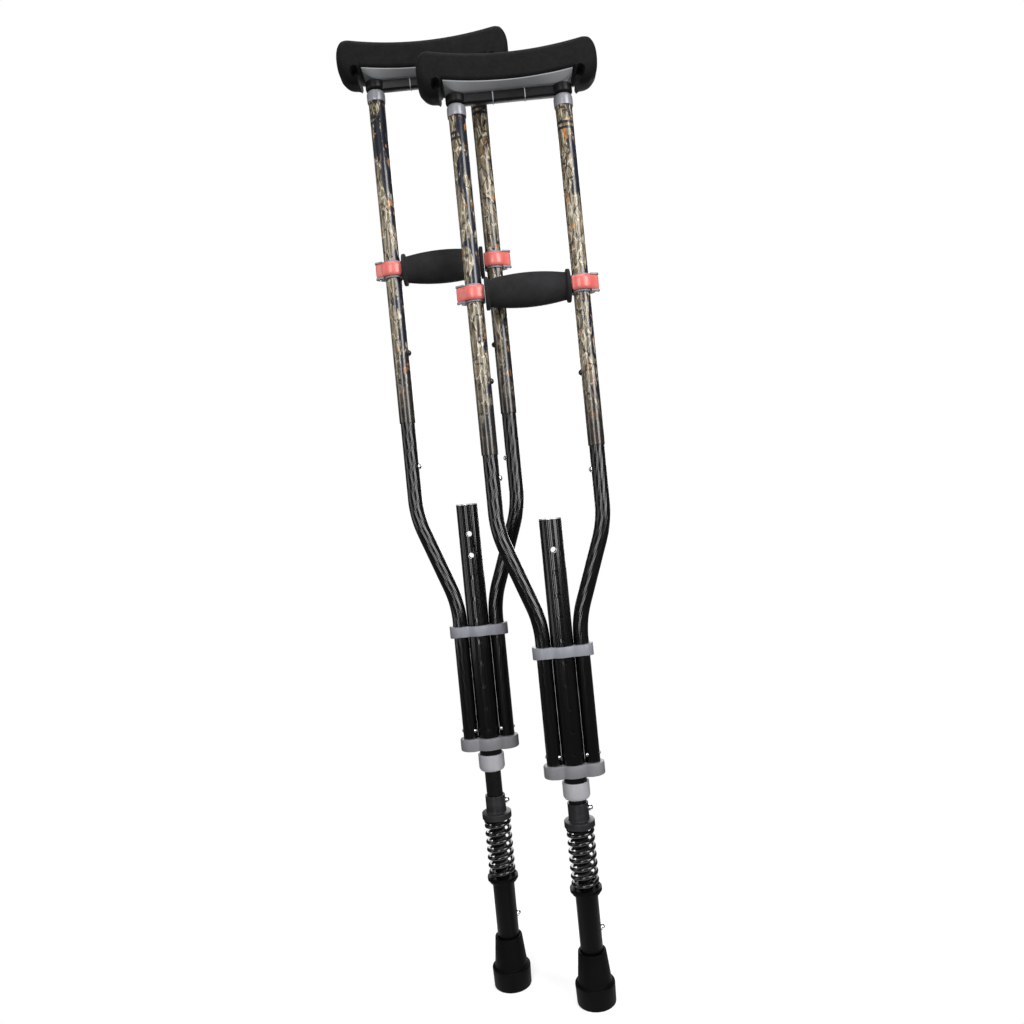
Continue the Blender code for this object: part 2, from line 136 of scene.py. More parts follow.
def skin(rings, closed_loop):
    """Points and quads joining rings of equal length; open stacks are capped."""
    rings = [np.asarray(ring, float) for ring in rings]
    count, sides = len(rings), len(rings[0])
    points = np.concatenate(rings)
    faces = []
    for i in range(count if closed_loop else count - 1):
        low, high = i * sides, ((i + 1) % count) * sides
        for k in range(sides):
            n = (k + 1) % sides
            faces.append((low + k, low + n, high + n, high + k))
    if not closed_loop:
        faces.append(tuple(range(sides))[::-1])
        faces.append(tuple(range((count - 1) * sides, count * sides)))
    return points, faces


def join(*parts):
    """Several (points, faces) as one."""
    points, faces, shift = [], [], 0
    for part_points, part_faces in parts:
        points.append(np.asarray(part_points, float))
        faces += [tuple(shift + i for i in face) for face in part_faces]
        shift += len(part_points)
    return np.concatenate(points), faces


def moved(shape, offset=(0, 0, 0), turn=None):
    """A shape turned and then shifted."""
    points = np.asarray(shape[0], float)
    if turn is not None:
        points = points @ np.array(turn.to_3x3()).T
    return points + np.array(offset, float), shape[1]


def rounded(profile, radius, closed=True, steps=3):
    """Replaces each corner of a polyline of (a, b) points with a small arc."""
    points = [Vector(p) for p in profile]
    count = len(points)
    out = []
    for i, here in enumerate(points):
        if not closed and i in (0, count - 1):
            out.append(tuple(here))
            continue
        before, after = points[i - 1] - here, points[(i + 1) % count] - here
        reach = min(radius, before.length * 0.45, after.length * 0.45)
        start, end = here + before.normalized() * reach, here + after.normalized() * reach
        for k in range(steps + 1):
            t = k / steps
            out.append(tuple(start * (1 - t) ** 2 + here * 2 * t * (1 - t) + end * t ** 2))
    return out


def turned(profile, sides=64, hollow=True):
    """A solid of revolution about Z from (radius, z) points."""
    angles = np.linspace(0, math.tau, sides, endpoint=False)
    circle = np.stack([np.cos(angles), np.sin(angles)], 1)
    rings = [np.column_stack([r * circle, np.full(sides, z)]) for r, z in profile]
    return skin(rings, hollow)


def rod(radius, low, high):
    """The (radius, z) profile of a plain solid cylinder."""
    return [(ON_AXIS, low), (radius, low), (radius, high), (ON_AXIS, high)]


def along_x(shape, sign=1):
    """A shape made about Z, laid so that +Z points along sign * X."""
    return moved(shape, turn=Matrix.Rotation(sign * math.pi / 2, 4, "Y"))


def ring_prism(outer, inner, low, high, edge):
    """A band between two matching outlines, its outer edges rounded off."""
    outer, inner = np.asarray(outer, float), np.asarray(inner, float)
    centre_pull = 1 - edge / np.linalg.norm(outer, axis=1, keepdims=True)
    drawn_in = outer * centre_pull
    middle_pull = outer * (1 - 0.3 * edge / np.linalg.norm(outer, axis=1, keepdims=True))

    def at(loop, z):
        return np.column_stack([loop, np.full(len(loop), z)])

    loops = [
        at(drawn_in, low), at(middle_pull, low + 0.3 * edge), at(outer, low + edge),
        at(outer, high - edge), at(middle_pull, high - 0.3 * edge), at(drawn_in, high),
        at(inner, high), at(inner, low),
    ]
    return skin(loops, True)


def arc(centre, radius, start, end, steps):
    """Points on an arc; angles in degrees, both ends included."""
    angles = np.radians(np.linspace(start, end, steps + 1))
    return [(centre[0] + radius * math.cos(a), centre[1] + radius * math.sin(a)) for a in angles]


def three_lobes(middle_r, side_r, steps=40):
    """Outline around the post and the two bow tubes beside it."""
    crossing_x = (TRIO_X ** 2 + middle_r ** 2 - side_r ** 2) / (2 * TRIO_X)
    crossing_y = math.sqrt(middle_r ** 2 - crossing_x ** 2)
    middle = math.degrees(math.atan2(crossing_y, crossing_x))
    side = math.degrees(math.atan2(crossing_y, crossing_x - TRIO_X))
    points = arc((TRIO_X, 0), side_r, -side, side, steps)
    points += arc((0, 0), middle_r, middle, 180 - middle, steps)[1:-1]
    points += arc((-TRIO_X, 0), side_r, 180 - side, 180 + side, steps)
    points += arc((0, 0), middle_r, 180 + middle, 360 - middle, steps)[1:-1]
    return points


def filled(outline, half_depth):
    """A lobed outline whose notches are filled out towards half_depth."""
    points = np.array(outline)
    between = np.abs(points[:, 0]) < TRIO_X
    fuller = np.sign(points[:, 1]) * (np.abs(points[:, 1]) ** 8 + half_depth ** 8) ** 0.125
    points[between, 1] = fuller[between]
    return points


def fluted_circle(radius, flutes, depth, per_flute=4):
    """Circle points whose radius dips by depth at every flute."""
    count = flutes * per_flute
    angles = np.linspace(0, math.tau, count, endpoint=False)
    dip = depth * (0.5 - 0.5 * np.cos(angles * flutes)) ** 2
    radii = radius - dip
    return np.stack([radii * np.cos(angles), radii * np.sin(angles), np.zeros(count)], 1)


def bow_path(sign):
    """Middle line of a bow as (x, z, tilt) stations through its two bends."""
    foot, bends, radius, top = 0.2545, (0.427, 0.534), 0.120, 0.840
    lean = math.atan2(UPRIGHT_X - TRIO_X, bends[1] - bends[0])
    reach = radius * math.tan(lean / 2)
    steps = 14
    stations = [(TRIO_X, foot, 0.0)]
    for k in range(steps + 1):
        tilt = lean * k / steps
        x = TRIO_X + radius * (1 - math.cos(tilt))
        stations.append((x, bends[0] - reach + radius * math.sin(tilt), tilt))
    for k in range(steps + 1):
        tilt = lean * (steps - k) / steps
        x = UPRIGHT_X - radius * (1 - math.cos(tilt))
        stations.append((x, bends[1] + reach - radius * math.sin(tilt), tilt))
    stations.append((UPRIGHT_X, top, 0.0))
    return [(sign * x, z, sign * tilt) for x, z, tilt in stations]


def cut(target, tool_shapes, origin):
    """Cuts closed shapes out of a piece's mesh, leaving no modifier behind."""
    for number, shape in enumerate(tool_shapes):
        mesh = bpy.data.meshes.new("cutter")
        mesh.from_pydata([tuple(p) for p in shape[0]], [], shape[1])
        mesh.transform(Matrix.Translation(origin))
        builder = bmesh.new()
        builder.from_mesh(mesh)
        bmesh.ops.recalc_face_normals(builder, faces=builder.faces[:])
        builder.to_mesh(mesh)
        builder.free()
        tool = bpy.data.objects.new("cutter", mesh)
        bpy.context.scene.collection.objects.link(tool)
        modifier = target.modifiers.new(f"cut_{number}", "BOOLEAN")
        modifier.operation = "DIFFERENCE"
        modifier.object = tool
        modifier.solver = "EXACT"
        evaluated = target.evaluated_get(bpy.context.evaluated_depsgraph_get())
        result = bpy.data.meshes.new_from_object(evaluated)
        target.modifiers.remove(modifier)
        old = target.data
        target.data = result
        bpy.data.meshes.remove(old)
        bpy.data.objects.remove(tool)
    target.data.shade_smooth()
    target.data.set_sharp_from_angle(angle=SHARP_ANGLE)


def button_hole(reach, side=1):
    """Cutter for a snap button's hole, from a tube's axis out along side * X."""
    return along_x(turned(rod(BUTTON_HOLE_R, 0.0, reach), 24, hollow=False), side)


def soften(piece, width, segments=2, angle=35):
    """A bevel on the piece's sharp edges."""
    bevel = piece.modifiers.new("soft_edges", "BEVEL")
    bevel.width = width
    bevel.segments = segments
    bevel.limit_method = "ANGLE"
    bevel.angle_limit = math.radians(angle)
    bevel.harden_normals = False


# ---- materials ----
class Shader:
    """A Principled material under construction."""

    def __init__(self, name, **sockets):
        self.material = bpy.data.materials.new(name)
        self.material.use_nodes = True
        self.tree = self.material.node_tree
        self.principled = self.tree.nodes["Principled BSDF"]
        for socket, value in sockets.items():
            self.set(socket.replace("_", " "), value)

    def set(self, socket, value):
        if isinstance(value, tuple):
            value = (*value, 1.0)
        self.principled.inputs[socket].default_value = value

    def node(self, kind, **settings):
        made = self.tree.nodes.new(kind)
        for key, value in settings.items():
            setattr(made, key, value)
        return made

    def link(self, out, into):
        self.tree.links.new(out, into)

    def place(self, scale=(1, 1, 1)):
        """Object coordinates, stretched."""
        coordinates = self.node("ShaderNodeTexCoord")
        mapping = self.node("ShaderNodeMapping")
        mapping.inputs["Scale"].default_value = scale
        self.link(coordinates.outputs["Object"], mapping.inputs["Vector"])
        return mapping.outputs["Vector"]

    def noise(self, scale, detail=4.0, roughness=0.55, stretch=(1, 1, 1), distortion=0.0):
        made = self.node("ShaderNodeTexNoise")
        made.inputs["Scale"].default_value = scale
        made.inputs["Detail"].default_value = detail
        made.inputs["Roughness"].default_value = roughness
        made.inputs["Distortion"].default_value = distortion
        self.link(self.place(stretch), made.inputs["Vector"])
        return made.outputs["Fac"]

    def ramp(self, factor, stops, interpolation="LINEAR"):
        """A colour ramp; stops are (position, colour or value)."""
        made = self.node("ShaderNodeValToRGB")
        made.color_ramp.interpolation = interpolation
        elements = made.color_ramp.elements
        while len(elements) < len(stops):
            elements.new(0.5)
        for element, (position, colour) in zip(elements, stops):
            element.position = position
            if isinstance(colour, (int, float)):
                colour = (colour, colour, colour)
            element.color = (*colour, 1.0)
        self.link(factor, made.inputs["Fac"])
        return made.outputs["Color"]

    def mix(self, factor, first, second):
        """Second colour over first by factor."""
        made = self.node("ShaderNodeMix", data_type="RGBA")
        self.link(factor, made.inputs[0])
        for value, socket in ((first, made.inputs[6]), (second, made.inputs[7])):
            if isinstance(value, tuple):
                socket.default_value = (*value, 1.0)
            else:
                self.link(value, socket)
        return made.outputs[2]

    def spread(self, value, low, high, first=0.0, last=1.0, **settings):
        """Maps the range low to high of a value onto first to last."""
        made = self.node("ShaderNodeMapRange", **settings)
        for socket, number in (("From Min", low), ("From Max", high), ("To Min", first), ("To Max", last)):
            made.inputs[socket].default_value = number
        self.link(value, made.inputs["Value"])
        return made.outputs["Result"]

    def add(self, first, second):
        made = self.node("ShaderNodeMath", operation="ADD")
        self.link(first, made.inputs[0])
        self.link(second, made.inputs[1])
        return made.outputs["Value"]

    def colour(self, out):
        self.link(out, self.principled.inputs["Base Color"])

    def roughness(self, out):
        self.link(out, self.principled.inputs["Roughness"])

    def bump(self, height, strength, distance=0.0004):
        made = self.node("ShaderNodeBump")
        made.inputs["Strength"].default_value = strength
        made.inputs["Distance"].default_value = distance
        self.link(height, made.inputs["Height"])
        self.link(made.outputs["Normal"], self.principled.inputs["Normal"])


def plain(name, dark, light, scale, rough, bump=0.0, bump_scale=900, stretch=(1, 1, 1), **sockets):
    """A material whose colour and roughness vary gently with noise."""
    shader = Shader(name, **sockets)
    variation = shader.noise(scale, stretch=stretch)
    shader.colour(shader.ramp(variation, ((0.3, dark), (0.7, light))))
    finer = shader.noise(scale * 2.3, stretch=stretch)
    shader.roughness(shader.ramp(finer, ((0.3, rough[0]), (0.7, rough[1]))))
    if bump:
        shader.bump(shader.noise(bump_scale, detail=2.0), bump)
    return shader.material


def foam(name, dark, light):
    """Closed-cell foam: fine pores and a soft sheen."""
    shader = Shader(name, Sheen_Weight=0.02, Sheen_Roughness=0.5, Specular_IOR_Level=0.12)
    shader.colour(shader.ramp(shader.noise(60), ((0.3, dark), (0.7, light))))
    shader.roughness(shader.ramp(shader.noise(300), ((0.3, 0.62), (0.7, 0.82))))
    pores = shader.node("ShaderNodeTexVoronoi")
    pores.inputs["Scale"].default_value = 1500
    shader.link(shader.place(), pores.inputs["Vector"])
    shader.bump(pores.outputs["Distance"], 0.35, 0.0003)
    return shader.material


def camouflage(name, axis_x, lower_z, upper_z, darker_top):
    """Glossy woodland film: straw, twigs and bark, dark strips down one side, a few orange leaves."""
    shader = Shader(name, Coat_Weight=0.6, Coat_Roughness=0.06)
    tones = shader.noise(170, detail=9.0, roughness=0.72, stretch=(1, 1, 0.60), distortion=1.6)
    base = shader.ramp(tones, (
        (0.34, (0.020, 0.014, 0.009)), (0.42, (0.11, 0.075, 0.045)), (0.49, (0.24, 0.19, 0.12)),
        (0.55, (0.10, 0.095, 0.045)), (0.60, (0.33, 0.27, 0.18)), (0.70, (0.56, 0.50, 0.39)),
    ))
    for scale, stretch, width, tint in (
        (170, (1.0, 1.0, 0.26), 0.060, (0.56, 0.49, 0.37)),
        (150, (0.8, 1.1, 0.24), 0.055, (0.035, 0.024, 0.014)),
    ):
        warp = shader.node("ShaderNodeTexNoise")
        warp.inputs["Scale"].default_value = 60
        place = shader.place(stretch)
        shader.link(place, warp.inputs["Vector"])
        bent = shader.node("ShaderNodeVectorMath", operation="MULTIPLY_ADD")
        bent.inputs[1].default_value = (0.022, 0.022, 0.022)
        shader.link(warp.outputs["Color"], bent.inputs[0])
        shader.link(place, bent.inputs[2])
        cells = shader.node("ShaderNodeTexVoronoi", feature="DISTANCE_TO_EDGE")
        cells.inputs["Scale"].default_value = scale
        shader.link(bent.outputs["Vector"], cells.inputs["Vector"])
        line = shader.ramp(cells.outputs["Distance"], ((width * 0.6, 1.0), (width, 0.0)))
        base = shader.mix(line, base, tint)
    place = shader.node("ShaderNodeSeparateXYZ")
    coordinates = shader.node("ShaderNodeTexCoord")
    shader.link(coordinates.outputs["Object"], place.inputs["Vector"])
    x, z = place.outputs["X"], place.outputs["Z"]
    strip_tint, leaf_tint = (0.008, 0.010, 0.020), (0.46, 0.17, 0.035)
    foot_tint, band_tint = (0.014, 0.010, 0.008), (0.014, 0.015, 0.022)

    shade = shader.noise(52, detail=5.0, roughness=0.62, stretch=(1.3, 1.3, 0.36), distortion=1.8)
    more_on_one_side = shader.spread(x, axis_x, axis_x + SLEEVE_R, 0.0, 0.13, clamp=False)
    more_at_the_top = shader.spread(
        z, upper_z - 0.150, upper_z - 0.085, 0.0, darker_top, interpolation_type="SMOOTHSTEP")
    strips = shader.add(shader.add(shade, more_on_one_side), more_at_the_top)
    look = shader.mix(shader.ramp(strips, ((0.555, 0.0), (0.575, 1.0))), base, strip_tint)

    leaves = shader.noise(95, detail=3.0, roughness=0.5, stretch=(1.3, 1.3, 0.8), distortion=0.9)
    look = shader.mix(shader.ramp(leaves, ((0.645, 0.0), (0.67, 1.0))), look, leaf_tint)
    look = shader.mix(shader.spread(z, lower_z + 0.012, lower_z + 0.090, 0.93, 0.0), look, foot_tint)
    bands = shader.ramp(
        shader.spread(z, lower_z, upper_z),
        ((0.0, 0), (0.912, 1), (0.921, 0), (0.926, 1), (0.937, 0)), "CONSTANT")
    shader.colour(shader.mix(bands, look, band_tint))
    shader.roughness(shader.ramp(tones, ((0.3, 0.24), (0.7, 0.40))))
    return shader.material


MATERIALS = {
    "pad_foam": foam("pad_foam_look", (0.0045, 0.0045, 0.0047), (0.0078, 0.0078, 0.0082)),
    "grip_foam": foam("grip_foam_look", (0.0150, 0.0150, 0.0158), (0.0260, 0.0260, 0.0275)),
    "black_tube": plain(
        "black_anodised", (0.0010, 0.0010, 0.0012), (0.0022, 0.0022, 0.0026), 40, (0.17, 0.25),
        stretch=(1, 1, 0.1), Coat_Weight=0.55, Coat_Roughness=0.10, Specular_IOR_Level=0.3),
    "leg_black": plain(
        "leg_satin", (0.0010, 0.0010, 0.0011), (0.0022, 0.0022, 0.0024), 40, (0.34, 0.44),
        stretch=(1, 1, 0.1), Specular_IOR_Level=0.06),
    "grey_plastic": plain(
        "grey_moulding", (0.20, 0.205, 0.235), (0.26, 0.265, 0.30), 30, (0.38, 0.50), bump=0.05),
    "bracket_plastic": plain(
        "bracket_moulding", (0.16, 0.16, 0.172), (0.20, 0.20, 0.215), 30, (0.42, 0.55), bump=0.05),
    "light_plastic": plain(
        "light_moulding", (0.32, 0.32, 0.338), (0.40, 0.40, 0.42), 30, (0.40, 0.50), bump=0.05),
    "tray_plastic": plain(
        "tray_moulding", (0.27, 0.28, 0.29), (0.34, 0.35, 0.36), 25, (0.45, 0.58), bump=0.10),
    "dark_plastic": plain(
        "dark_moulding", (0.0035, 0.0035, 0.0036), (0.0080, 0.0080, 0.0082), 30, (0.34, 0.48), bump=0.10,
        Specular_IOR_Level=0.20),
    "seat_plastic": plain(
        "seat_moulding", (0.012, 0.012, 0.013), (0.024, 0.024, 0.026), 60, (0.34, 0.48), bump=0.10,
        stretch=(1, 1, 2.5), Specular_IOR_Level=0.25),
    "silver_collar": plain(
        "silver_moulding", (0.24, 0.245, 0.27), (0.31, 0.315, 0.34), 40, (0.30, 0.42), Metallic=0.25),
    "red_lever": plain(
        "red_moulding", (0.68, 0.135, 0.115), (0.78, 0.180, 0.155), 30, (0.34, 0.42), Coat_Weight=0.5,
        Coat_Roughness=0.24),
    "black_steel": plain(
        "black_steel_look", (0.0025, 0.0025, 0.0025), (0.0055, 0.0055, 0.0055), 60, (0.18, 0.28),
        Coat_Weight=0.3, Coat_Roughness=0.08),
    "chrome": plain(
        "chrome_look", (0.74, 0.74, 0.76), (0.84, 0.84, 0.86), 80, (0.06, 0.16), Metallic=1.0),
    "cut_metal": plain(
        "cut_metal_look", (0.72, 0.72, 0.74), (0.90, 0.90, 0.92), 200, (0.30, 0.45), Metallic=0.6),
    "tip_rubber": plain(
        "tip_rubber_look", (0.0012, 0.0012, 0.0013), (0.0026, 0.0026, 0.0028), 35, (0.46, 0.62), bump=0.25,
        bump_scale=1400, Specular_IOR_Level=0.05),
}


# ---- the foot: tip, leg tube, spring, shaft ----
def rubber_tip(crutch):
    bore = POST_R + GAP
    outline = rounded([
        (0.0, 0.0), (0.0218, 0.0), (0.0225, 0.0225), (0.0191, 0.0240), (0.0158, 0.0580), (bore, 0.0580),
        (bore, 0.0077), (0.0, 0.0077),
    ], 0.0012, closed=False)
    profile = [(max(r, 0.0004), z) for r, z in outline]
    tip = add_piece(
        crutch, "tip_ferrule", turned(profile, hollow=False), MATERIALS["tip_rubber"], "foot",
        crutch.base, ["rubber_tip"])
    grooves = []
    for radius in (0.0165, 0.0115, 0.0065):
        grooves.append(turned([
            (radius - 0.0009, -0.001), (radius + 0.0009, -0.001),
            (radius + 0.0007, 0.0012), (radius - 0.0007, 0.0012)]))
    cut(tip, grooves, crutch.base)


def leg_tube(crutch):
    profile = rounded([
        (POST_R, 0.008), (POST_R, 0.122), (0.0160, 0.122), (0.0160, 0.1248), (0.0180, 0.1248),
        (0.0180, 0.129), (0.0083, 0.129), (0.0083, 0.117), (0.0103, 0.114), (0.0103, 0.008),
    ], 0.0006)
    tube = add_piece(
        crutch, "leg_outer_tube", turned(profile), MATERIALS["leg_black"], "foot", crutch.base,
        ["lower_leg_tube"])
    cut(tube, [moved(button_hole(0.02), (0, 0, LEG_BUTTON_Z))], crutch.base)


def leg_shaft(crutch):
    profile = rounded([
        (NECK_R, 0.050), (NECK_R, 0.2003), (SHAFT_R, 0.2003), (SHAFT_R, 0.497), (0.006, 0.497),
        (0.006, 0.050), ], 0.0004)
    shaft = add_piece(
        crutch, "leg_shaft_tube", turned(profile), MATERIALS["black_steel"], "leg", crutch.base,
        ["inner_leg_shaft"])
    cut(shaft, [moved(button_hole(0.02), (0, 0, SEAT_BUTTON_Z))], crutch.base)


def spring_seat(crutch):
    profile = rounded([
        (0.0173, 0.197), (0.0173, 0.204), (0.0117, 0.2048), (0.0117, 0.224), (0.0098, 0.224), (0.0098, 0.200),
        (0.0083, 0.200), (0.0083, 0.197),
    ], 0.0007)
    seat = add_piece(
        crutch, "spring_top_seat", turned(profile), MATERIALS["seat_plastic"], "leg",
        crutch.base, ["upper_spring_seat"])
    cut(seat, [moved(button_hole(0.02), (0, 0, SEAT_BUTTON_Z))], crutch.base)


def spring(crutch):
    """Round-wire coil with a closed end turn at each seat."""
    low, high, radius, wire_r, turns, per_turn, sides = 0.1293, 0.1967, 0.0135, 0.00225, 7.6, 40, 14
    count = int(turns * per_turn)
    closed = 0.75 * per_turn
    weights = []
    for k in range(count):
        from_end = min(k, count - 1 - k) / closed
        weights.append(0.42 if from_end < 1 else 1.0)
    climb = np.concatenate([[0], np.cumsum(weights)])
    heights = low + wire_r + climb / climb[-1] * (high - low - 2 * wire_r)
    rings = []
    for k, z in enumerate(heights):
        turn = math.tau * k / per_turn
        out = np.array((math.cos(turn), math.sin(turn), 0))
        angles = np.linspace(0, math.tau, sides, endpoint=False)
        rings.append([
            out * (radius + wire_r * math.cos(a)) + np.array((0, 0, z + wire_r * math.sin(a)))
            for a in angles])
    coil = add_piece(
        crutch, "coil_spring", skin(rings, False), MATERIALS["black_steel"], "leg",
        crutch.base, ["shock_spring"])
    crutch.node("shock_travel")
    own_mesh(coil)


# ---- the frame: post, bows and their collars ----
def post(crutch):
    outer = fluted_circle(POST_R + 0.00010, 28, 0.00012, 8)
    inner = fluted_circle(0.0103, 28, 0.0, 8)
    low, high = 0.2312, 0.543

    def at(ring, z, scale=1.0):
        return ring * (scale, scale, 1) + (0, 0, z)

    hole_heights = [0.508 - PITCH * k for k in range(10)]
    breaks = sorted([z + step for z in hole_heights for step in (-0.0045, 0.0045)])
    rings = [at(outer, low, 0.97)] + [at(outer, z) for z in [low + 0.0004] + breaks + [high - 0.0004]]
    rings += [at(outer, high, 0.97), at(inner, high)]
    rings += [at(inner, z) for z in reversed(breaks)] + [at(inner, low)]
    tube = add_piece(
        crutch, "post_tube", skin(rings, True), MATERIALS["black_tube"], "frame", crutch.frame,
        ["height_post"])
    holes = []
    for z in hole_heights:
        bore = turned(rod(POST_HOLE_R, -0.02, 0.02), 24, hollow=False)
        holes.append(moved(bore, (0, 0, z), Matrix.Rotation(math.pi / 2, 4, "X")))
    cut(tube, [join(*holes)], crutch.frame)
    tube.data.shade_flat()
    rim = rounded([
        (0.0102, high - 0.0012), (0.01285, high - 0.0012), (0.01285, high - 0.0001), (0.0125, high + 0.0004),
        (0.0102, high + 0.0004)], 0.0002)
    add_piece(
        crutch, "post_cut_end", turned(rim), MATERIALS["cut_metal"], "frame", crutch.frame)


def bow(crutch, upright, sign):
    """Bent tube whose fine flutes wind slowly round it."""
    stations = bow_path(sign)
    path = []
    for (x0, z0, tilt0), (x1, z1, tilt1) in zip(stations, stations[1:]):
        steps = max(1, round(math.hypot(x1 - x0, z1 - z0) / 0.006))
        for k in range(steps):
            t = k / steps
            path.append((x0 + (x1 - x0) * t, z0 + (z1 - z0) * t, tilt0 + (tilt1 - tilt0) * t))
    path.append(stations[-1])

    def ring(station, shape):
        x, z, tilt = station
        wind = np.array(Matrix.Rotation(sign * 14.0 * z, 3, "Z"))
        turn = np.array(Matrix.Rotation(tilt, 3, "Y"))
        return (shape @ wind.T) @ turn.T + (x, 0, z)

    outer = fluted_circle(BOW_R + 0.00010, 20, 0.00010, 8)
    inner = fluted_circle(0.0070, 20, 0.0, 8)
    rings = [ring(s, outer) for s in path] + [ring(s, inner) for s in reversed(path)]
    tube = add_piece(
        crutch, f"{upright}_bow_tube", skin(rings, True), MATERIALS["black_tube"], "frame",
        crutch.frame, [f"{upright}_side_bow"])
    hole = button_hole(0.012, -sign)
    hole_heights = [LOW_BUTTON_Z] + [HIGH_BUTTON_Z + PITCH * k for k in range(5)]
    holes = [moved(hole, (sign * UPRIGHT_X, 0, z)) for z in hole_heights]
    cut(tube, [join(*holes)], crutch.frame)
    tube.data.shade_flat()


def band(crutch):
    """Grey strap around the three tubes, flared at its two ends."""
    low, high = 0.3875, 0.4005
    inner = np.array(three_lobes(POST_R + GAP, BOW_R + GAP))
    outer = filled(three_lobes(0.0148, 0.0128), 0.0121)
    shape_points, faces = ring_prism(outer, inner, low, high, 0.0008)
    points = np.array(shape_points)
    reach = np.clip((np.abs(points[:, 0]) - 0.020) / 0.014, 0, 1)
    middle = (low + high) / 2
    points[:, 2] = middle + (points[:, 2] - middle) * (0.92 + 0.20 * reach ** 2)
    add_piece(
        crutch, "band_strap", (points, faces), MATERIALS["grey_plastic"], "frame",
        crutch.frame, ["bow_band"])


def bracket(crutch):
    low, high = 0.254, 0.268
    inner = three_lobes(POST_R + GAP, BOW_R + GAP)
    outer = filled(three_lobes(0.0155, 0.0128), 0.0112)
    add_piece(
        crutch, "bracket_clamp", ring_prism(outer, inner, low, high, 0.0014), MATERIALS["bracket_plastic"],
        "frame", crutch.frame, ["bow_bracket"])
    head = rounded(
        [(ON_AXIS, 0.0013), (0.0016, 0.0010), (0.0022, 0.0), (ON_AXIS, -0.0006)], 0.0004, closed=False)
    for upright, sign in UPRIGHTS:
        shape = along_x(turned(head, 24, hollow=False), sign)
        add_piece(
            crutch, f"{upright}_rivet", moved(shape, (sign * (TRIO_X + BOW_R), 0, RIVET_Z)),
            MATERIALS["chrome"], "frame", crutch.frame)
        front = moved(turned(head, 24, hollow=False), (0, 0, 0), Matrix.Rotation(math.pi / 2, 4, "X"))
        add_piece(
            crutch, f"{upright}_crevice_rivet", moved(front, (sign * 0.0155, -0.0062, RIVET_Z)),
            MATERIALS["chrome"], "frame", crutch.frame)


def post_collar(crutch):
    profile = rounded([
        (0.0098, 0.229), (0.0135, 0.229), (0.0152, 0.232), (0.0152, 0.248), (0.0130, 0.248), (0.0130, 0.2309),
        (0.0098, 0.2309),
    ], 0.0008)
    add_piece(
        crutch, "post_sleeve_collar", turned(profile), MATERIALS["light_plastic"], "frame",
        crutch.frame, ["post_collar"])


# ---- the top: sleeves, collars, rail, tray, pad ----
def upper_tube(crutch, upright, sign):
    low, high = 0.6195, 1.005
    profile = rounded([(SLEEVE_R, low), (SLEEVE_R, high), (0.0088, high), (0.0088, low)], 0.0003)
    axis_x = crutch.top.x + sign * UPRIGHT_X
    look = camouflage(
        crutch.node(f"{upright}_camo_look"), axis_x, low + crutch.top.z, high + crutch.top.z,
        darker_top=0.075 if sign < 0 else 0.0)
    origin = crutch.top + Vector((sign * UPRIGHT_X, 0, 0))
    tube = add_piece(
        crutch, f"{upright}_camo_sleeve", turned(profile, 72), look, "top", origin,
        [f"{upright}_upper_tube"])
    cut(tube, [moved(button_hole(0.012, -sign), (0, 0, HIGH_BUTTON_Z))], origin)


def upright_collar(crutch, upright, sign):
    profile = rounded([
        (0.0104, 0.999), (0.0107, 1.001), (0.0107, 1.0095), (0.0090, 1.012), (0.0078, 1.012),
        (0.0078, 1.0053), (0.0098, 1.0053), (0.0098, 0.999),
    ], 0.0012)
    add_piece(
        crutch, f"{upright}_silver_collar", turned(profile), MATERIALS["silver_collar"], "top",
        crutch.top + Vector((sign * UPRIGHT_X, 0, 0)), [f"{upright}_upright_collar"])


def rail(crutch):
    """Black rail with two sockets and the light ribs between them."""
    half_y, low, high = 0.0052, 1.0130, 1.0230
    outline = [(x, y) for x, y in arc((UPRIGHT_X, 0), half_y, -90, 90, 16)]
    outline += arc((-UPRIGHT_X, 0), half_y, 90, 270, 16)
    outline = np.array(outline)
    rings = []
    for z, shrink in (
        (low, 0.0010), (low + 0.0004, 0.0003), (low + 0.0010, 0), (high - 0.0004, 0), (high, 0.0004),
    ):
        pulled = outline * (1 - shrink / UPRIGHT_X, 1 - shrink / half_y)
        rings.append(np.column_stack([pulled, np.full(len(pulled), z)]))
    parts = [skin(rings, False)]
    for _, sign in UPRIGHTS:
        profile = rounded([
            (ON_AXIS, 0.9975), (0.0075, 0.9975), (0.0075, 1.0128), (0.0098, 1.0132), (0.0112, 1.0150),
            (0.0112, 1.0230), (ON_AXIS, 1.0230),
        ], 0.0008, closed=False)
        parts.append(moved(turned(profile, 64, hollow=False), (sign * UPRIGHT_X, 0, 0)))
    add_piece(
        crutch, "rail_and_sockets", join(*parts), MATERIALS["dark_plastic"], "top",
        crutch.top, ["saddle_rail"])
    half = 0.0005
    for upright, sign in UPRIGHTS:
        box = [(-half, -0.0055), (half, -0.0055), (half, 0.0055), (-half, 0.0055)]
        rings = [[(x + sign * 0.018, y, z) for x, y in box] for z in (1.0128, 1.0231)]
        add_piece(
            crutch, f"{upright}_rail_rib", skin(rings, False), MATERIALS["tray_plastic"], "top",
            crutch.top)


def pad_edge(x):
    """Height of the pad's lower edge over the tray."""
    return 1.0270 + 0.0060 * (x / 0.072) ** 2


